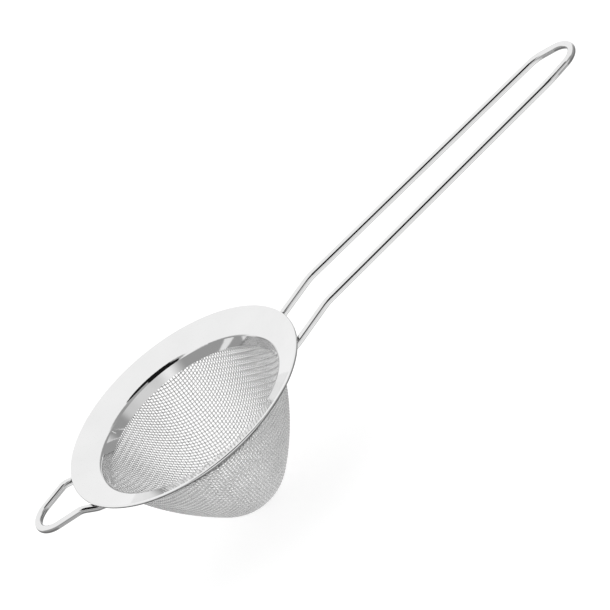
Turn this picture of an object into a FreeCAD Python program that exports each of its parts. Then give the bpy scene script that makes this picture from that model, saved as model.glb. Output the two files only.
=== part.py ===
import FreeCAD, Part
import math
import os

import Sketcher

# A fine-mesh tea strainer: a pressed sheet rim with a sloping flange and a short conical collar, a woven
# cone-shaped basket held against the collar by a clamp ring, a long hairpin handle and a short rest loop,
# both bent from round wire and spot-welded under the flange.
# The flange's outer edge is rolled into a solid round hem.
# Frame: origin at the centre of the rim, level with its outer edge; +Z up, +X along the handle.

V = FreeCAD.Vector
doc = FreeCAD.newDocument("tea_strainer")

# ---------------------------------------------------------------- driving dimensions, mm and degrees
DIMENSIONS = [
    # rim
    ("rim_edge_radius", 42.25),
    ("rim_edge_height", 0.53),
    ("sheet_gauge", 0.35),
    ("hem_thickness", 1.1),
    ("hem_depth", 1.4),
    ("flange_slope", 20.2),
    ("collar_slope", 21.0),
    ("collar_foot_radius", 31.85),
    ("collar_foot_depth", 6.85),
    ("corner_bend", 2.35),
    ("edge_rounding", 0.545),
    # basket of woven wire
    ("cloth_gauge", 0.6),
    ("mouth_radius", 34.1),
    ("mouth_depth", 4.0),
    ("side_radius", 105.0),
    ("nose_radius", 18.3),
    ("basket_depth", 42.7),
    # clamp ring around the top of the basket
    ("clamp_gauge", 0.5),
    ("clamp_top_radius", 34.22),
    ("clamp_top_depth", 3.85),
    ("clamp_foot_radius", 33.5),
    ("clamp_foot_depth", 5.6),
    # wire of the handle and the rest loop
    ("wire_radius", 1.25),
    ("weld_radius", 0.8),
    # handle
    ("handle_root_x", 34.6),
    ("handle_root_half_gap", 9.95),
    ("handle_root_run", 5.6),
    ("handle_root_rise", 0.215),
    ("handle_root_bend_radius", 15.0),
    ("handle_rise", 0.3127),
    ("handle_inner_weld", 1.6),
    ("handle_outer_weld", 3.9),
    ("handle_bend_x", 55.1),
    ("handle_bend_z", 2.23),
    ("handle_bend_half_gap", 9.7),
    ("handle_bend_radius", 15.0),
    ("handle_neck_x", 152.5),
    ("handle_neck_z", 13.16),
    ("handle_neck_half_gap", 8.45),
    ("handle_neck_radius", 14.0),
    ("handle_tip_x", 163.35),
    ("handle_tip_half_gap", 4.6),
    ("handle_tip_radius", 6.5),
    # rest loop
    ("loop_root_x", 33.5),
    ("loop_root_run", 6.5),
    ("loop_root_rise", 0.15),
    ("loop_root_bend_radius", 6.0),
    ("loop_rise", 0.467),
    ("loop_weld", 2.6),
    ("loop_bend_x", 44.4),
    ("loop_bend_z", -0.57),
    ("loop_bend_half_gap", 9.94),
    ("loop_bend_radius", 5.0),
    ("loop_tip_x", 58.15),
    ("loop_tip_z", -1.46),
    ("loop_tip_half_gap", 5.43),
    ("loop_tip_radius", 7.4),
]

sizes = doc.addObject("Spreadsheet::Sheet", "Sizes")
for row, (alias, value) in enumerate(DIMENSIONS, start=1):
    sizes.set(f"A{row}", alias)
    sizes.set(f"B{row}", str(value))
    sizes.setAlias(f"B{row}", alias)
doc.recompute()


def size(alias):
    """The value of one driving dimension."""
    return float(sizes.get(alias))


# ---------------------------------------------------------------- sketch helpers
START, END, CENTRE = 1, 2, 3
ORIGIN = -1
VERTICAL_AXIS = -2


def new_profile(label):
    """A body and an empty sketch on its XZ plane, where a round part's half section is drawn."""
    body = doc.addObject("PartDesign::Body", label)
    body.Label = label
    plane = next(f for f in body.Origin.OriginFeatures if f.Role == "XZ_Plane")
    sketch = body.newObject("Sketcher::SketchObject", label + "_section")
    sketch.AttachmentSupport = (plane, "")
    sketch.MapMode = "FlatFace"
    return body, sketch


def bind(sketch, kind, *arguments):
    """Add a constraint whose value is the expression given last."""
    *references, start_value, expression = arguments
    index = sketch.addConstraint(Sketcher.Constraint(kind, *references, start_value))
    sketch.setExpression(f"Constraints[{index}]", expression)


def place_point(sketch, line, end, x, x_expression, z, z_expression):
    """Fix one end of an edge at a radius and a height given by expressions."""
    bind(sketch, "DistanceX", ORIGIN, START, line, end, x, x_expression)
    bind(sketch, "DistanceY", ORIGIN, START, line, end, z, z_expression)


def polygon(sketch, corners):
    """Closed outline of straight edges; edge i runs from corner i to corner i + 1."""
    count = len(corners)
    for i in range(count):
        start = V(*corners[i], 0)
        end = V(*corners[(i + 1) % count], 0)
        sketch.addGeometry(Part.LineSegment(start, end))
    for i in range(count):
        sketch.addConstraint(Sketcher.Constraint("Coincident", i, END, (i + 1) % count, START))


def revolve(body, sketch):
    """Turn the half section a full turn about the vertical axis."""
    turned = body.newObject("PartDesign::Revolution", body.Label + "_turned")
    turned.Profile = sketch
    turned.ReferenceAxis = (sketch, ["V_Axis"])
    turned.Angle = 360.0
    doc.recompute()
    return turned


def circle_edges(shape, corner, tolerance=0.01):
    """Names of the circular edges that pass through a corner of the half section."""
    radius, height = corner
    names = []
    for number, edge in enumerate(shape.Edges, start=1):
        middle = edge.valueAt(edge.FirstParameter)
        at_radius = abs(math.hypot(middle.x, middle.y) - radius) < tolerance
        if at_radius and abs(middle.z - height) < tolerance and edge.Length > radius:
            names.append(f"Edge{number}")
    return names


def round_corner(body, base, name, corner, expression):
    """Fillet the circular edge at one corner of the half section."""
    fillet = body.newObject("PartDesign::Fillet", name)
    fillet.Base = (base, circle_edges(base.Shape, corner))
    fillet.setExpression("Radius", expression)
    doc.recompute()
    body.Tip = fillet
    return fillet


def crossing(point_a, direction_a, point_b, direction_b):
    """Where two straight lines in the section plane cross."""
    determinant = direction_a[1] * direction_b[0] - direction_a[0] * direction_b[1]
    gap = (point_b[0] - point_a[0], point_b[1] - point_a[1])
    along = (gap[1] * direction_b[0] - gap[0] * direction_b[1]) / determinant
    return (point_a[0] + along * direction_a[0], point_a[1] + along * direction_a[1])


def offset(point, direction, distance):
    """A point moved along a direction in the section plane."""
    return (point[0] + distance * direction[0], point[1] + distance * direction[1])


# ---------------------------------------------------------------- rim: flange, hemmed edge and collar
def make_rim_flange():
    gauge = size("sheet_gauge")
    flange = math.radians(size("flange_slope"))
    collar = math.radians(size("collar_slope"))
    outward = (math.cos(flange), math.sin(flange))
    upward = (-math.sin(flange), math.cos(flange))
    collar_up = (math.sin(collar), math.cos(collar))
    collar_out = (math.cos(collar), -math.sin(collar))

    hem = size("hem_thickness")
    edge_top = (size("rim_edge_radius"), size("rim_edge_height"))
    edge_under = offset(edge_top, upward, -hem)
    hem_under = offset(edge_under, outward, -size("hem_depth"))
    hem_step = offset(hem_under, upward, hem - gauge)
    foot_inner = (size("collar_foot_radius"), -size("collar_foot_depth"))
    foot_outer = offset(foot_inner, collar_out, gauge)
    bend_under = crossing(hem_step, outward, foot_outer, collar_up)
    bend_top = crossing(edge_top, outward, foot_inner, collar_up)

    body, sketch = new_profile("rim_flange")
    corners = [edge_top, edge_under, hem_under, hem_step, bend_under, foot_outer, foot_inner, bend_top]
    polygon(sketch, corners)
    outer_face, hem_face, hem_end, under_face, collar_outside, foot_face, collar_inside, top_face = range(8)
    add = sketch.addConstraint
    for face in (under_face, hem_face):
        add(Sketcher.Constraint("Parallel", face, top_face))
    for face in (outer_face, hem_end):
        add(Sketcher.Constraint("Perpendicular", face, top_face))
    add(Sketcher.Constraint("Parallel", collar_outside, collar_inside))
    add(Sketcher.Constraint("Perpendicular", foot_face, collar_inside))
    bind(sketch, "Angle", top_face, flange, "Sizes.flange_slope * 1deg")
    bind(sketch, "Angle", collar_inside, math.pi / 2 - collar, "90deg - Sizes.collar_slope * 1deg")
    bind(sketch, "Distance", outer_face, hem, "Sizes.hem_thickness")
    bind(sketch, "Distance", hem_end, hem - gauge, "Sizes.hem_thickness - Sizes.sheet_gauge")
    bind(sketch, "Distance", foot_face, gauge, "Sizes.sheet_gauge")
    bind(sketch, "Distance", hem_face, size("hem_depth"), "Sizes.hem_depth")
    place_point(sketch, outer_face, START, edge_top[0], "Sizes.rim_edge_radius", edge_top[1],
                "Sizes.rim_edge_height")
    place_point(sketch, foot_face, END, foot_inner[0], "Sizes.collar_foot_radius",
                foot_inner[1], "-Sizes.collar_foot_depth")

    turned = revolve(body, sketch)
    rounded = round_corner(body, turned, "bend_outside", bend_top, "Sizes.corner_bend + Sizes.sheet_gauge")
    rounded = round_corner(body, rounded, "bend_inside", bend_under, "Sizes.corner_bend")
    rounded = round_corner(body, rounded, "edge_above", edge_top, "Sizes.edge_rounding")
    round_corner(body, rounded, "edge_below", edge_under, "Sizes.edge_rounding")
    return body


# ---------------------------------------------------------------- basket: closed solid of the woven cone
def make_mesh_basket():
    gauge = size("cloth_gauge")
    side = size("side_radius")
    nose = size("nose_radius")
    mouth = V(size("mouth_radius"), -size("mouth_depth"), 0)
    nose_centre = V(0, nose - size("basket_depth"), 0)

    # the side arc passes through the mouth and touches the nose from outside
    reach = mouth.sub(nose_centre)
    span = reach.Length
    inner_reach = side - nose
    along = (inner_reach ** 2 - side ** 2 + span ** 2) / (2 * span)
    across = math.sqrt(inner_reach ** 2 - along ** 2)
    unit = V(reach).normalize()
    side_centre = nose_centre + unit * along + V(-unit.y, unit.x, 0) * across

    mouth_angle = math.atan2(mouth.y - side_centre.y, mouth.x - side_centre.x)
    touch_angle = math.atan2(nose_centre.y - side_centre.y, nose_centre.x - side_centre.x)
    bottom_angle = -math.pi / 2
    axis_z = V(0, 0, 1)

    body, sketch = new_profile("mesh_basket")

    def arc(centre, radius, start, end):
        circle = Part.Circle(centre, axis_z, radius)
        return sketch.addGeometry(Part.ArcOfCircle(circle, start, end))

    def line(start, end):
        return sketch.addGeometry(Part.LineSegment(start, end))

    def on_circle(centre, radius, angle):
        return centre + V(math.cos(angle), math.sin(angle), 0) * radius

    side_out = arc(side_centre, side, touch_angle, mouth_angle)
    nose_out = arc(nose_centre, nose, bottom_angle, touch_angle)
    nose_in = arc(nose_centre, nose - gauge, bottom_angle, touch_angle)
    side_in = arc(side_centre, side - gauge, touch_angle, mouth_angle)
    bottom = line(on_circle(nose_centre, nose, bottom_angle), on_circle(nose_centre, nose - gauge, bottom_angle))
    lip = line(on_circle(side_centre, side, mouth_angle), on_circle(side_centre, side - gauge, mouth_angle))

    add = sketch.addConstraint
    add(Sketcher.Constraint("Coincident", side_out, CENTRE, side_in, CENTRE))
    add(Sketcher.Constraint("Coincident", nose_out, CENTRE, nose_in, CENTRE))
    add(Sketcher.Constraint("PointOnObject", nose_out, CENTRE, VERTICAL_AXIS))
    add(Sketcher.Constraint("Tangent", side_out, START, nose_out, END))
    add(Sketcher.Constraint("Tangent", side_in, START, nose_in, END))
    add(Sketcher.Constraint("Coincident", nose_out, START, bottom, START))
    add(Sketcher.Constraint("Coincident", nose_in, START, bottom, END))
    add(Sketcher.Constraint("Coincident", side_out, END, lip, START))
    add(Sketcher.Constraint("Coincident", side_in, END, lip, END))
    add(Sketcher.Constraint("PointOnObject", bottom, END, VERTICAL_AXIS))
    bind(sketch, "Radius", side_out, side, "Sizes.side_radius")
    bind(sketch, "Radius", nose_out, nose, "Sizes.nose_radius")
    bind(sketch, "Distance", lip, gauge, "Sizes.cloth_gauge")
    place_point(sketch, bottom, START, 0.0, "0", -size("basket_depth"), "-Sizes.basket_depth")
    place_point(sketch, lip, START, mouth.x, "Sizes.mouth_radius", mouth.y, "-Sizes.mouth_depth")
    revolve(body, sketch)
    return body


# ---------------------------------------------------------------- clamp ring
def make_clamp_ring():
    gauge = size("clamp_gauge")
    top_inner = (size("clamp_top_radius"), -size("clamp_top_depth"))
    foot_inner = (size("clamp_foot_radius"), -size("clamp_foot_depth"))
    body, sketch = new_profile("clamp_ring")
    corners = [top_inner, foot_inner, offset(foot_inner, (1, 0), gauge), offset(top_inner, (1, 0), gauge)]
    polygon(sketch, corners)
    inner_face, foot_face, outer_face, top_face = range(4)
    place_point(sketch, inner_face, START, top_inner[0], "Sizes.clamp_top_radius",
                top_inner[1], "-Sizes.clamp_top_depth")
    place_point(sketch, foot_face, START, foot_inner[0], "Sizes.clamp_foot_radius",
                foot_inner[1], "-Sizes.clamp_foot_depth")
    place_point(sketch, outer_face, START, foot_inner[0] + gauge, "Sizes.clamp_foot_radius + Sizes.clamp_gauge",
                foot_inner[1], "-Sizes.clamp_foot_depth")
    place_point(sketch, top_face, START, top_inner[0] + gauge, "Sizes.clamp_top_radius + Sizes.clamp_gauge",
                top_inner[1], "-Sizes.clamp_top_depth")
    revolve(body, sketch)
    return body


# ---------------------------------------------------------------- bent wires
def rounded_path(corners, radii):
    """Straight runs through the corners, each inner corner rounded by a tangent arc of its radius."""
    edges = []
    previous = corners[0]
    for i in range(1, len(corners) - 1):
        corner = corners[i]
        back = (corners[i - 1] - corner).normalize()
        ahead = (corners[i + 1] - corner).normalize()
        half_turn = (math.pi - back.getAngle(ahead)) / 2
        reach = radii[i - 1] * math.tan(half_turn)
        arc_start = corner + back * reach
        arc_end = corner + ahead * reach
        to_centre = (back + ahead).normalize()
        depth = radii[i - 1] / math.cos(half_turn) - radii[i - 1]
        edges.append(Part.LineSegment(previous, arc_start).toShape())
        edges.append(Part.Arc(arc_start, corner + to_centre * depth, arc_end).toShape())
        previous = arc_end
    edges.append(Part.LineSegment(previous, corners[-1]).toShape())
    return Part.Wire(edges)


def mirrored(points):
    """The same points on the other side of the handle's plane, in reverse order."""
    return [V(p.x, -p.y, p.z) for p in reversed(points)]


def make_bent_wire(label, half_route, half_radii):
    """A round wire swept along a route that is symmetric about the XZ plane."""
    corners = half_route + mirrored(half_route)
    radii = half_radii + half_radii[::-1]
    path = doc.addObject("Part::Feature", label + "_path")
    path.Shape = rounded_path(corners, radii)

    section = doc.addObject("Part::Circle", label + "_section")
    section.setExpression("Radius", "Sizes.wire_radius")
    direction = corners[1] - corners[0]
    section.Placement = FreeCAD.Placement(corners[0], FreeCAD.Rotation(V(0, 0, 1), direction))

    wire = doc.addObject("Part::Sweep", label)
    wire.Label = label
    wire.Sections = [section]
    wire.Spine = (path, [f"Edge{n}" for n in range(1, len(path.Shape.Edges) + 1)])
    wire.Solid = True
    doc.recompute()
    return wire


def with_root(wire, first_bend, side_point):
    """A route's first three corners: the welded root, the small bend below the hem, and the first bend.

    The wire rises more steeply from the hem on. In plan it runs straight from its root to the first
    bend, along the line through the side point."""
    root_x = size(wire + "_root_x")
    root_bend_x = root_x + size(wire + "_root_run")
    root_bend_z = first_bend.z - (first_bend.x - root_bend_x) * size(wire + "_rise")
    root_z = root_bend_z - size(wire + "_root_run") * size(wire + "_root_rise")
    spread = (side_point.y - first_bend.y) / (side_point.x - first_bend.x)
    root_y = first_bend.y + (root_x - first_bend.x) * spread
    root_bend_y = first_bend.y + (root_bend_x - first_bend.x) * spread
    return [V(root_x, root_y, root_z), V(root_bend_x, root_bend_y, root_bend_z), first_bend]


def handle_route():
    """Corners of one side of the handle, from its welded root to the middle of its tip."""
    bend = V(size("handle_bend_x"), size("handle_bend_half_gap"), size("handle_bend_z"))
    beside_root = V(size("handle_root_x"), size("handle_root_half_gap"), 0)
    neck = V(size("handle_neck_x"), size("handle_neck_half_gap"), size("handle_neck_z"))
    tip = V(size("handle_tip_x"), size("handle_tip_half_gap"), size("handle_neck_z"))
    return with_root("handle", bend, beside_root) + [neck, tip]


def loop_route():
    """Corners of one side of the rest loop, from its welded root to the middle of its tip."""
    bend = V(size("loop_bend_x"), size("loop_bend_half_gap"), size("loop_bend_z"))
    tip = V(size("loop_tip_x"), size("loop_tip_half_gap"), size("loop_tip_z"))
    route = with_root("loop", bend, tip) + [tip]
    return [V(-corner.x, corner.y, corner.z) for corner in route]


# ---------------------------------------------------------------- spot welds
def make_spot_welds(label, wire, route, distances):
    """Weld nuggets between a wire's roots and the underside of the flange."""
    slope = math.radians(size("flange_slope"))
    direction = (route[1] - route[0]).normalize()
    nuggets = []
    for side in (1, -1):
        for distance in distances:
            point = route[0] + direction * distance
            radial = V(point.x, point.y, 0)
            drop = (size("rim_edge_radius") - radial.Length) * math.tan(slope)
            under_z = size("rim_edge_height") - drop - size("sheet_gauge") / math.cos(slope)
            radial.normalize()
            flange_normal = V(-radial.x * math.sin(slope), -radial.y * math.sin(slope), math.cos(slope))
            top = V(point.x, point.y, under_z)
            height = size("wire_radius")
            base = top - flange_normal * height
            base.y *= side
            flange_normal.y *= side
            name = f"{label}_{'left' if side > 0 else 'right'}_{distances.index(distance)}"
            nugget = doc.addObject("Part::Cylinder", name)
            nugget.setExpression("Radius", "Sizes.weld_radius")
            nugget.setExpression("Height", "Sizes.wire_radius")
            nugget.Placement = FreeCAD.Placement(base, FreeCAD.Rotation(V(0, 0, 1), flange_normal))
            trimmed = doc.addObject("Part::Cut", name + "_trimmed")
            trimmed.Base = nugget
            trimmed.Tool = wire
            nuggets.append(trimmed)
    group = doc.addObject("Part::Compound", label)
    group.Label = label
    group.Links = nuggets
    doc.recompute()
    return group


# ---------------------------------------------------------------- build, check and write
rim_flange = make_rim_flange()
mesh_basket = make_mesh_basket()
clamp_ring = make_clamp_ring()
handle_wire = make_bent_wire(
    "handle_wire", handle_route(),
    [size("handle_root_bend_radius"), size("handle_bend_radius"),
     size("handle_neck_radius"), size("handle_tip_radius")])
rest_loop_wire = make_bent_wire(
    "rest_loop_wire", loop_route(),
    [size("loop_root_bend_radius"), size("loop_bend_radius"), size("loop_tip_radius")])
handle_welds = make_spot_welds(
    "handle_welds", handle_wire, handle_route(), [size("handle_inner_weld"), size("handle_outer_weld")])
rest_loop_welds = make_spot_welds("rest_loop_welds", rest_loop_wire, loop_route(), [size("loop_weld")])

doc.recompute()
for item in doc.Objects:
    if "Invalid" in item.State or "Error" in item.State:
        raise RuntimeError(f"{item.Label} failed: {item.State}")

sub_parts = [rim_flange, clamp_ring, mesh_basket, handle_wire, rest_loop_wire, handle_welds, rest_loop_welds]
for sub_part in sub_parts:
    shape = sub_part.Shape
    if shape.isNull() or not shape.isValid() or not shape.Solids:
        raise RuntimeError(f"{sub_part.Label} has no valid solid")

os.makedirs("parts", exist_ok=True)
for sub_part in sub_parts:
    sub_part.Shape.exportStep(f"parts/{sub_part.Label}.step")
    box = sub_part.Shape.BoundBox
    print(f"{sub_part.Label}: {len(sub_part.Shape.Solids)} solid(s), {sub_part.Shape.Volume:.1f} mm3, "
          f"x {box.XMin:.2f}..{box.XMax:.2f}, y {box.YMin:.2f}..{box.YMax:.2f}, z {box.ZMin:.2f}..{box.ZMax:.2f}")
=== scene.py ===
import math

import bpy
import numpy as np
from mathutils import Matrix, Vector


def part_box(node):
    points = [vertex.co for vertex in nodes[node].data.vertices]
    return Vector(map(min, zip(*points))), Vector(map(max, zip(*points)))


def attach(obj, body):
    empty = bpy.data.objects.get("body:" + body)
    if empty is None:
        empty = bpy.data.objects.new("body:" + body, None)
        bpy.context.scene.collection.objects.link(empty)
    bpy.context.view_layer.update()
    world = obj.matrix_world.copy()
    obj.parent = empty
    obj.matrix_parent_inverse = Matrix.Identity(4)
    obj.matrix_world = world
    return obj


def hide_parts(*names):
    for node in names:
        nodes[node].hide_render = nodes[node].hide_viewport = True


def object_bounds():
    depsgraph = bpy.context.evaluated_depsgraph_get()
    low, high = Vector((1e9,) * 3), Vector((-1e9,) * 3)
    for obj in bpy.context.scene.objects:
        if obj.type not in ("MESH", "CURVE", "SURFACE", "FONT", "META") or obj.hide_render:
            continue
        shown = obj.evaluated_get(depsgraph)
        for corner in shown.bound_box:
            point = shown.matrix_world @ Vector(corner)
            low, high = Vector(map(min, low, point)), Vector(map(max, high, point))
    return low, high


# A stainless tea strainer: polished sheet rim, bright drawn wire handle and rest loop, and a basket
# of plain woven wire cloth pressed into a cone. The rim, wires, clamp ring and welds are the packed
# CAD solids. The basket is rebuilt here wire by wire. All lengths are metres.

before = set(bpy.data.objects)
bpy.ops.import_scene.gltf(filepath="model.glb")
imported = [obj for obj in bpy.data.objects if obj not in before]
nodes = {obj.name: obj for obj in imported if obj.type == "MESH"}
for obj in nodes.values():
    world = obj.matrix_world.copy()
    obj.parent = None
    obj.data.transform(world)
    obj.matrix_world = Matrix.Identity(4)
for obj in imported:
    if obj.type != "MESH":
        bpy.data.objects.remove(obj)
cad_low, cad_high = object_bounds()
MM = 0.001

# ---------------------------------------------------------------- basket surface and cloth
CLOTH_THICKNESS = 0.6 * MM
NOSE_RADIUS = 18.3 * MM - CLOTH_THICKNESS / 2
SIDE_RADIUS = 105.0 * MM - CLOTH_THICKNESS / 2
MOUTH_LEAN = math.radians(21.5)
MESH_PITCH = 1.05 * MM
WIRE_RADIUS = 0.165 * MM
WEAVE_LIFT = 0.145 * MM
CLOTH_TURN = math.radians(-3.0)
CUT_BELOW_MOUTH = 0.15 * MM
NET_REACH = 62.0 * MM
SPARE_ROWS_ABOVE_MOUTH = 3
STEPS_PER_PITCH = 3
SIDES_PER_WIRE = 6
SHORTEST_RUN = 4

# Soft ridges where the cloth is gathered under the rim, at four places round the mouth. They reach
# full depth a little below the mouth and fade out towards the nose. Angles are in radians.
RIDGE_DEPTH = 0.09 * MM
RIDGES_AROUND = 74
RIDGE_UNEVENNESS = 1.3
GATHERED_HALF_WIDTH = 0.3
FULL_DEPTH_BELOW_MOUTH = 3.0 * MM
FADE_LENGTH = 6.0 * MM

# A slow waviness of the whole cloth.
DRIFT_DEPTH = 0.1 * MM
DRIFT_WAVES_AROUND = 3
DRIFT_START = 0.4
DRIFT_RIPPLE = 6.0 * MM
DRIFT_STARTS_OVER = 10.0 * MM

basket_low, basket_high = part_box("mesh_basket")
half_cloth = CLOTH_THICKNESS / 2
mouth_point = np.array([
    basket_high.x - half_cloth * math.cos(MOUTH_LEAN),
    basket_high.z - half_cloth * math.sin(MOUTH_LEAN),
])
nose_centre = np.array([0.0, basket_low.z + half_cloth + NOSE_RADIUS])


def find_side_centre():
    """Centre of the side arc, which passes through the mouth and touches the nose arc from outside."""
    reach = mouth_point - nose_centre
    span = np.linalg.norm(reach)
    inner = SIDE_RADIUS - NOSE_RADIUS
    along = (inner ** 2 - SIDE_RADIUS ** 2 + span ** 2) / (2 * span)
    across = math.sqrt(inner ** 2 - along ** 2)
    unit = reach / span
    return nose_centre + unit * along + np.array([-unit[1], unit[0]]) * across


side_centre = find_side_centre()
touch = nose_centre - side_centre
TOUCH_ANGLE = math.atan2(touch[0], -touch[1])


def meridian_point(length):
    """Radius and height at a distance from the lowest point, measured along the basket."""
    nose_length = NOSE_RADIUS * TOUCH_ANGLE
    if length < nose_length:
        angle = length / NOSE_RADIUS
        centre, radius = nose_centre, NOSE_RADIUS
    else:
        angle = TOUCH_ANGLE + (length - nose_length) / SIDE_RADIUS
        centre, radius = side_centre, SIDE_RADIUS
    return centre[0] + radius * math.sin(angle), centre[1] - radius * math.cos(angle)


def from_surface(points):
    """Distance outside the cloth's middle surface, and the outward normal there."""
    radius = np.hypot(points[:, 0], points[:, 1])
    from_side = np.column_stack([radius, points[:, 2]]) - side_centre
    from_nose = np.column_stack([radius, points[:, 2]]) - nose_centre
    on_side = np.arctan2(from_side[:, 0], -from_side[:, 1]) > TOUCH_ANGLE
    arm = np.where(on_side[:, None], from_side, from_nose)
    length = np.linalg.norm(arm, axis=1)
    distance = length - np.where(on_side, SIDE_RADIUS, NOSE_RADIUS)
    arm = arm / length[:, None]
    outward = points[:, :2] / np.maximum(radius, 1e-9)[:, None]
    normal = np.column_stack([outward * arm[:, :1], arm[:, 1]])
    return distance, normal


def net_quadrant(count):
    """Crossings of the cloth over one quarter of the basket.

    It starts from the two straight wires through the lowest point. Each crossing lies one pitch
    along both wires from its neighbours, as in cloth that shears but doesn't stretch. Crossings
    well above the mouth stay empty."""
    net = np.full((count + 1, count + 1, 3), np.nan)
    for i in range(count + 1):
        radius, height = meridian_point(i * MESH_PITCH)
        net[i, 0] = (radius, 0.0, height)
        net[0, i] = (0.0, radius, height)
    top = mouth_point[1] + SPARE_ROWS_ABOVE_MOUTH * MESH_PITCH
    for diagonal in range(2, 2 * count + 1):
        i = np.arange(max(1, diagonal - count), min(count, diagonal - 1) + 1)
        j = diagonal - i
        ready = np.isfinite(net[i - 1, j, 2]) & np.isfinite(net[i, j - 1, 2])
        i, j = i[ready], j[ready]
        if len(i) == 0:
            break
        before, beside, corner = net[i - 1, j], net[i, j - 1], net[i - 1, j - 1]
        guess = before + beside - corner
        for _ in range(8):
            distance, normal = from_surface(guess)
            to_before, to_beside = guess - before, guess - beside
            miss = np.column_stack([
                ((to_before ** 2).sum(1) - MESH_PITCH ** 2) / 2,
                ((to_beside ** 2).sum(1) - MESH_PITCH ** 2) / 2,
                distance,
            ])
            slopes = np.stack([to_before, to_beside, normal], axis=1)
            guess = guess - np.linalg.solve(slopes, miss[:, :, None])[:, :, 0]
        net[i, j] = np.where((guess[:, 2] < top)[:, None], guess, np.nan)
    return net


def whole_wires(net):
    """Each wire of one direction as its number, the numbers of its crossings and their places."""
    count = net.shape[0] - 1
    for number in range(-count, count + 1):
        half = net[:, abs(number)]
        half = half[np.isfinite(half[:, 2])]
        if len(half) < 2:
            continue
        other_half = half[:0:-1] * (-1, 1, 1)
        points = np.vstack([other_half, half])
        points[:, 1] *= 1 if number >= 0 else -1
        numbers = np.arange(-len(half) + 1, len(half))
        yield number, numbers, points


def puckers(points):
    """How far the cloth lies inside its smooth surface: the gathered ridges and the slow waviness."""
    angle = np.arctan2(points[:, 1], points[:, 0])
    below = mouth_point[1] - points[:, 2]
    past_full_depth = np.maximum(below - FULL_DEPTH_BELOW_MOUTH, 0)
    band = np.clip(below / FULL_DEPTH_BELOW_MOUTH, 0, 1) * np.exp(-past_full_depth / FADE_LENGTH)
    quarter = math.pi / 2
    from_nearest_axis = np.mod(angle + quarter / 2, quarter) - quarter / 2
    gathered = np.exp(-(from_nearest_axis / GATHERED_HALF_WIDTH) ** 2)
    ridges = np.sin(RIDGES_AROUND * angle + RIDGE_UNEVENNESS * np.sin(5 * angle))
    drift = np.sin(DRIFT_WAVES_AROUND * angle + DRIFT_START) * np.sin(below / DRIFT_RIPPLE)
    drift_share = np.clip(below / DRIFT_STARTS_OVER, 0, 1)
    return RIDGE_DEPTH * band * gathered * ridges + DRIFT_DEPTH * drift * drift_share


def bent_path(numbers, points, parity):
    """A wire's centre line: over one crossing wire and under the next, with the normals along it."""
    places = np.linspace(numbers[0], numbers[-1], (len(numbers) - 1) * STEPS_PER_PITCH + 1)
    path = np.column_stack([np.interp(places, numbers, points[:, k]) for k in range(3)])
    for _ in range(2):
        distance, normal = from_surface(path)
        path = path - distance[:, None] * normal
    height = path[:, 2].copy()
    wave = WEAVE_LIFT * np.cos(math.pi * (places + parity))
    path = path + (wave - puckers(path))[:, None] * normal
    return path, normal, height


def runs_below(height, limit):
    """Slices of a wire that stay below the cut edge of the cloth."""
    inside = np.concatenate([[False], height < limit, [False]])
    changes = np.flatnonzero(inside[1:] != inside[:-1])
    return [slice(a, b) for a, b in zip(changes[::2], changes[1::2]) if b - a >= SHORTEST_RUN]


def tube(path, normal):
    """Rings of vertices round a wire's centre line."""
    tangent = np.gradient(path, axis=0)
    tangent /= np.linalg.norm(tangent, axis=1)[:, None]
    across = np.cross(tangent, normal)
    across /= np.linalg.norm(across, axis=1)[:, None]
    upward = np.cross(across, tangent)
    turn = np.linspace(0, 2 * math.pi, SIDES_PER_WIRE, endpoint=False)
    cosine, sine = np.cos(turn)[None, :, None], np.sin(turn)[None, :, None]
    ring = cosine * across[:, None] + sine * upward[:, None]
    return (path[:, None] + WIRE_RADIUS * ring).reshape(-1, 3)


def wire_mesh(name, tubes):
    """One mesh of closed tubes, from the vertices of each tube's rings."""
    side = np.arange(SIDES_PER_WIRE)
    beside = (side + 1) % SIDES_PER_WIRE
    walls, caps, start = [], [], 0
    for vertices in tubes:
        rings = len(vertices) // SIDES_PER_WIRE
        first = start + np.arange(rings - 1)[:, None] * SIDES_PER_WIRE
        quads = np.stack([first + side, first + beside, first + SIDES_PER_WIRE + beside,
                          first + SIDES_PER_WIRE + side], axis=2)
        walls.append(quads.reshape(-1, 4))
        caps.append(start + side[::-1])
        caps.append(start + (rings - 1) * SIDES_PER_WIRE + side)
        start += len(vertices)
    walls = np.concatenate(walls)
    caps = np.array(caps)
    corners = np.concatenate([walls.ravel(), caps.ravel()])
    sizes = np.concatenate([np.full(len(walls), 4), np.full(len(caps), SIDES_PER_WIRE)])
    mesh = bpy.data.meshes.new(name)
    mesh.vertices.add(start)
    mesh.vertices.foreach_set("co", np.concatenate(tubes).ravel())
    mesh.loops.add(len(corners))
    mesh.loops.foreach_set("vertex_index", corners.astype(np.int32))
    mesh.polygons.add(len(sizes))
    mesh.polygons.foreach_set("loop_start", (np.cumsum(sizes) - sizes).astype(np.int32))
    mesh.update(calc_edges=True)
    mesh.validate()
    return mesh


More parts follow.
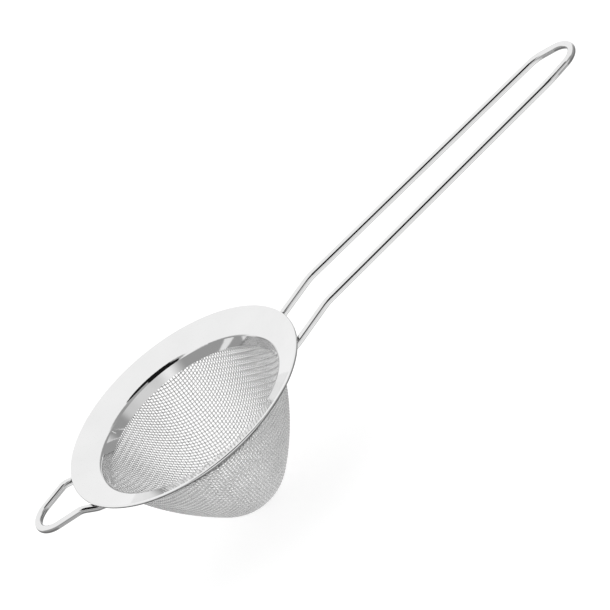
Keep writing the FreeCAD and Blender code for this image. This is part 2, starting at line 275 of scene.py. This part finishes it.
def make_cloth(material):
    """The woven basket: two sets of wires, each in two pieces."""
    net = net_quadrant(int(NET_REACH / MESH_PITCH))
    cut_height = basket_high.z - CUT_BELOW_MOUTH
    turned = np.array(Matrix.Rotation(CLOTH_TURN, 3, "Z"))
    for family, swapped in (("lengthwise", False), ("crosswise", True)):
        halves = {"left": [], "right": []}
        for number, numbers, points in whole_wires(net):
            if swapped:
                points = points[:, [1, 0, 2]]
            path, normal, height = bent_path(numbers, points, number + swapped)
            for run in runs_below(height, cut_height):
                part = halves["left" if number >= 0 else "right"]
                part.append(tube(path[run] @ turned.T, normal[run] @ turned.T))
        for half, tubes in halves.items():
            name = f"cloth_{family}_wires_{half}"
            piece = bpy.data.objects.new(name, wire_mesh(name, tubes))
            bpy.context.scene.collection.objects.link(piece)
            piece.data.materials.append(material)
            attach(piece, "root")
            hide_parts("mesh_basket")


# ---------------------------------------------------------------- materials
def math_node(tree, operation, first, second=0.0):
    """The output of a Math node whose inputs are numbers or other nodes' outputs."""
    node = tree.nodes.new("ShaderNodeMath")
    node.operation = operation
    for socket, value in zip(node.inputs, (first, second)):
        if isinstance(value, (int, float)):
            socket.default_value = value
        else:
            tree.links.new(value, socket)
    return node.outputs[0]


class Nodes:
    """Short forms for building one material's node tree."""

    def __init__(self, name):
        self.material = bpy.data.materials.new(name)
        self.material.use_nodes = True
        self.tree = self.material.node_tree
        self.shader = self.tree.nodes["Principled BSDF"]

    def add(self, kind, **settings):
        node = self.tree.nodes.new(kind)
        for key, value in settings.items():
            setattr(node, key, value)
        return node

    def link(self, source, target):
        self.tree.links.new(source, target)

    def math(self, operation, first, second=0.0):
        return math_node(self.tree, operation, first, second)

    def place(self):
        return self.add("ShaderNodeTexCoord").outputs["Object"]

    def noise(self, vector, scale, detail=3.0):
        node = self.add("ShaderNodeTexNoise")
        node.inputs["Scale"].default_value = scale
        node.inputs["Detail"].default_value = detail
        self.link(vector, node.inputs["Vector"])
        return node.outputs["Fac"]

    def spread(self, value, low, high, start=0.3, end=0.7):
        """A value mapped from start..end to low..high."""
        node = self.add("ShaderNodeMapRange")
        self.link(value, node.inputs["Value"])
        for name, number in (("From Min", start), ("From Max", end), ("To Min", low), ("To Max", high)):
            node.inputs[name].default_value = number
        return node.outputs["Result"]

    def shade(self, value, dark, light):
        """A colour between two, for a noise value: noise stays mostly between 0.3 and 0.7."""
        node = self.add("ShaderNodeValToRGB")
        for element, colour, position in zip(node.color_ramp.elements, (dark, light), (0.3, 0.7)):
            element.color = (*colour, 1)
            element.position = position
        self.link(value, node.inputs["Fac"])
        return node.outputs["Color"]

    def bump(self, height, strength, distance):
        node = self.add("ShaderNodeBump")
        node.inputs["Strength"].default_value = strength
        node.inputs["Distance"].default_value = distance
        self.link(height, node.inputs["Height"])
        self.link(node.outputs["Normal"], self.shader.inputs["Normal"])

    def stretched(self, vector, scales):
        node = self.add("ShaderNodeMapping")
        node.inputs["Scale"].default_value = scales
        self.link(vector, node.inputs["Vector"])
        return node.outputs["Vector"]

    def below(self, top_colour, painted_shade_colour):
        """One colour on faces that look up or sideways, and a darker painted shade colour on those that
        look down.
        """
        split = self.add("ShaderNodeSeparateXYZ")
        self.link(self.add("ShaderNodeNewGeometry").outputs["Normal"], split.inputs[0])
        mixed = self.add("ShaderNodeMix", data_type="RGBA")
        steep, sideways = -0.35, -0.2
        self.link(self.spread(split.outputs[2], 1.0, 0.0, steep, sideways), mixed.inputs[0])
        self.link(top_colour, mixed.inputs[6])
        mixed.inputs[7].default_value = (*painted_shade_colour, 1)
        return mixed.outputs[2]

    def around(self, vector):
        """Coordinates that follow the rim: distance from the axis, height, and a slow turn."""
        split = self.add("ShaderNodeSeparateXYZ")
        self.link(vector, split.inputs[0])
        x, y, z = split.outputs
        squares = self.math("ADD", self.math("MULTIPLY", x, x), self.math("MULTIPLY", y, y))
        radius = self.math("SQRT", squares)
        joined = self.add("ShaderNodeCombineXYZ")
        self.link(radius, joined.inputs[0])
        self.link(z, joined.inputs[1])
        metres_per_radian = 0.002
        turn = self.math("MULTIPLY", self.math("ARCTAN2", y, x), metres_per_radian)
        self.link(turn, joined.inputs[2])
        return joined.outputs[0]


def rim_steel():
    """Polished sheet: nearly mirror bright, with faint turning lines and fingerprints of uneven polish.

    The underside is painted darker: faces that look down get a dark grey base colour as painted shade."""
    made = Nodes("rim_steel_polished")
    place = made.place()
    lines = made.noise(made.around(place), 9000.0, 2.0)
    clouds = made.noise(place, 70.0, 3.0)
    polished = made.shade(clouds, (0.83, 0.83, 0.83), (0.86, 0.86, 0.86))
    # Faces that look down get dark grey 0.2 here: painted shade under the flange and the clamp ring.
    made.link(made.below(polished, (0.2, 0.2, 0.2)), made.shader.inputs["Base Color"])
    gloss = made.math("ADD", made.spread(clouds, 0.02, 0.05), made.spread(lines, 0.0, 0.02))
    made.link(gloss, made.shader.inputs["Roughness"])
    made.bump(lines, 0.03, 0.01 * MM)
    made.shader.inputs["Metallic"].default_value = 1.0
    return made.material


def wire_steel():
    """Bright drawn wire with fine die lines along it."""
    made = Nodes("wire_steel_drawn")
    place = made.place()
    lines = made.noise(made.stretched(place, (0.02, 1.0, 1.0)), 14000.0, 2.0)
    clouds = made.noise(place, 120.0, 3.0)
    made.link(made.shade(clouds, (0.8, 0.8, 0.8), (0.84, 0.84, 0.84)), made.shader.inputs["Base Color"])
    gloss = made.math("ADD", made.spread(clouds, 0.02, 0.06), made.spread(lines, 0.0, 0.03))
    made.link(gloss, made.shader.inputs["Roughness"])
    made.bump(lines, 0.03, 0.01 * MM)
    made.shader.inputs["Metallic"].default_value = 1.0
    return made.material


def woven_wire():
    """Annealed fine wire: bright, a little softer and patchier than the handle."""
    made = Nodes("woven_wire_annealed")
    place = made.place()
    patches = made.noise(place, 160.0, 2.0)
    grain = made.noise(place, 2600.0, 2.0)
    mixed = made.math("ADD", made.math("MULTIPLY", patches, 0.6), made.math("MULTIPLY", grain, 0.4))
    bright = made.shade(mixed, (0.84, 0.84, 0.84), (0.94, 0.94, 0.94))
    made.link(bright, made.shader.inputs["Base Color"])
    made.link(made.spread(mixed, 0.16, 0.28), made.shader.inputs["Roughness"])
    made.bump(grain, 0.05, 0.01 * MM)
    made.shader.inputs["Metallic"].default_value = 1.0
    return made.material


def weld_steel():
    """Resistance welds: slightly dull nuggets with a straw to grey heat tint."""
    made = Nodes("weld_steel_tinted")
    place = made.place()
    tint = made.noise(place, 900.0, 3.0)
    grain = made.noise(place, 4000.0, 3.0)
    made.link(made.shade(tint, (0.33, 0.31, 0.3), (0.62, 0.58, 0.52)), made.shader.inputs["Base Color"])
    made.link(made.spread(grain, 0.28, 0.5), made.shader.inputs["Roughness"])
    made.bump(grain, 0.25, 0.03 * MM)
    made.shader.inputs["Metallic"].default_value = 1.0
    return made.material


def floor_white():
    """A softly glowing matt white board with a barely visible tooth."""
    made = Nodes("studio_floor_white")
    place = made.place()
    cloud = made.noise(place, 2.5, 2.0)
    shade = made.shade(cloud, (0.55, 0.55, 0.55), (0.56, 0.56, 0.56))
    made.link(shade, made.shader.inputs["Base Color"])
    made.link(shade, made.shader.inputs["Emission Color"])
    made.shader.inputs["Emission Strength"].default_value = 1.24
    made.link(made.spread(cloud, 0.6, 0.7), made.shader.inputs["Roughness"])
    made.shader.inputs["Specular IOR Level"].default_value = 0.0
    return made.material


def dress(node_name, material):
    """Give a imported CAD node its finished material."""
    for slot in nodes[node_name].material_slots:
        slot.material = material


# ---------------------------------------------------------------- studio
FLOOR_HALF_WIDTH = 6.0
FLOOR_GAP = 0.05 * MM
CAMERA_DISTANCE = 8.0
VIEW_WIDTH = 0.1891
VIEW_AZIMUTH = math.radians(1.8)
VIEW_ELEVATION = math.radians(28.56)
VIEW_ROLL = math.radians(39.68)
AIM_ALONG = 49.0 * MM
AIM_ABOVE = 0.1 * MM


def make_camera():
    """A long lens looking down at the strainer, rolled so that the handle rises to the right."""
    sideways = Vector((math.cos(VIEW_AZIMUTH), math.sin(VIEW_AZIMUTH), 0))
    back = Vector((
        math.sin(VIEW_AZIMUTH) * math.cos(VIEW_ELEVATION),
        -math.cos(VIEW_AZIMUTH) * math.cos(VIEW_ELEVATION),
        math.sin(VIEW_ELEVATION),
    ))
    level_up = back.cross(sideways)
    right = math.cos(VIEW_ROLL) * sideways - math.sin(VIEW_ROLL) * level_up
    up = math.sin(VIEW_ROLL) * sideways + math.cos(VIEW_ROLL) * level_up
    aim = AIM_ALONG * sideways + AIM_ABOVE * level_up
    data = bpy.data.cameras.new("camera")
    data.sensor_width = 36.0
    data.lens = data.sensor_width * CAMERA_DISTANCE / VIEW_WIDTH
    data.clip_start = 0.1
    data.clip_end = 50.0
    camera = bpy.data.objects.new("camera", data)
    placed = Matrix((right, up, back)).transposed().to_4x4()
    placed.translation = aim + CAMERA_DISTANCE * back
    camera.matrix_world = placed
    bpy.context.scene.collection.objects.link(camera)
    bpy.context.scene.camera = camera


# Each panel of the light tent is a soft ellipse: middle bearing and half width, middle height and
# half height, in degrees, then softness of its edge and brightness. Bearing 0 is the strainer's
# front, where the camera stands, and grows towards the handle. A later panel covers an earlier one.
# A panel darker than DARKEST_GREY is a black card, which shows only in first reflections.
DARKEST_GREY = 0.1
TENT_PANELS = {
    "pale board below": (0, 400, -90, 82, 0.1, 0.88),
    "greyer middle of the board": (0, 400, -90, 46, 0.2, 0.62),
    "dark flag low on the left": (-100, 65, -38, 34, 0.3, 0.2),
    "dark flag low on the right": (100, 65, -38, 34, 0.3, 0.2),
    "bright strip under the front": (0, 55, -72, 24, 0.3, 1.0),
    "grey flag on the left": (-60, 52, 0, 22, 0.2, 0.35),
    "grey flag on the right": (95, 50, 0, 22, 0.2, 0.35),
    "pale gap between the flags": (24, 32, 4, 16, 0.25, 0.74),
    "grey flag above the right": (55, 28, 28, 16, 0.3, 0.36),
    "grey border of the black cards": (8, 46, 42, 27, 0.1, 0.42),
    "black card above the camera": (18, 42, 56, 16, 0.08, 0.01),
    "black card round the camera": (-6, 22, 34, 18.5, 0.06, 0.01),
}


def make_surround():
    """A white light tent around the strainer, with grey and dark panels on the camera's side.

    The panels show only in the metal. Behind the strainer every view sees plain white."""
    world = bpy.data.worlds.new("light_tent")
    bpy.context.scene.world = world
    world.use_nodes = True
    tree = world.node_tree
    background = tree.nodes["Background"]

    def combine(operation, first, second=0.0):
        return math_node(tree, operation, first, second)

    def from_middle(angle, middle, half):
        """How far an angle is from a panel's middle, in halves of the panel."""
        return combine("DIVIDE", combine("SUBTRACT", angle, math.radians(middle)), math.radians(half))

    direction = tree.nodes.new("ShaderNodeTexCoord").outputs["Generated"]
    split = tree.nodes.new("ShaderNodeSeparateXYZ")
    tree.links.new(direction, split.inputs[0])
    x, y, z = split.outputs
    height = combine("ARCSINE", z)
    bearing = combine("ARCTAN2", x, combine("MULTIPLY", y, -1.0))

    light_path = tree.nodes.new("ShaderNodeLightPath")
    first_reflection = combine("LESS_THAN", light_path.outputs["Glossy Depth"], 1.5)
    shade = 1.0
    for panel in TENT_PANELS.values():
        middle_bearing, half_width, middle_height, half_height, softness, brightness = panel
        swing = from_middle(bearing, middle_bearing, half_width)
        rise = from_middle(height, middle_height, half_height)
        squares = combine("ADD", combine("MULTIPLY", swing, swing), combine("MULTIPLY", rise, rise))
        reach = combine("SQRT", squares)
        cover = tree.nodes.new("ShaderNodeMapRange")
        cover.interpolation_type = "SMOOTHSTEP"
        tree.links.new(reach, cover.inputs["Value"])
        limits = {"From Min": 1 - softness, "From Max": 1 + softness, "To Min": 1.0, "To Max": 0.0}
        for name, number in limits.items():
            cover.inputs[name].default_value = number
        covered = cover.outputs["Result"]
        if brightness < DARKEST_GREY:
            covered = combine("MULTIPLY", covered, first_reflection)
        kept = combine("MULTIPLY", shade, combine("SUBTRACT", 1.0, covered))
        shade = combine("ADD", kept, combine("MULTIPLY", covered, brightness))
    seen_directly = light_path.outputs["Is Camera Ray"]
    tree.links.new(combine("MAXIMUM", shade, seen_directly), background.inputs["Color"])
    background.inputs["Strength"].default_value = 1.0


def make_floor(material):
    """A wide floor just under the basket, left out of the metal's reflections."""
    half = FLOOR_HALF_WIDTH
    height = cad_low.z - FLOOR_GAP
    mesh = bpy.data.meshes.new("studio_floor")
    corners = [(x, y, height) for x, y in ((-half, -half), (half, -half), (half, half), (-half, half))]
    mesh.from_pydata(corners, [], [(0, 1, 2, 3)])
    mesh.materials.append(material)
    floor = bpy.data.objects.new("studio_floor", mesh)
    bpy.context.scene.collection.objects.link(floor)
    floor.visible_glossy = False


# ---------------------------------------------------------------- assemble
make_camera()
make_surround()
make_floor(floor_white())
make_cloth(woven_wire())
sheet, wire, weld = rim_steel(), wire_steel(), weld_steel()
for name in ("rim_flange", "clamp_ring"):
    dress(name, sheet)
for name in ("handle_wire", "rest_loop_wire"):
    dress(name, wire)
for name in ("handle_welds", "rest_loop_welds"):
    dress(name, weld)
bpy.context.scene.view_settings.view_transform = "Standard"
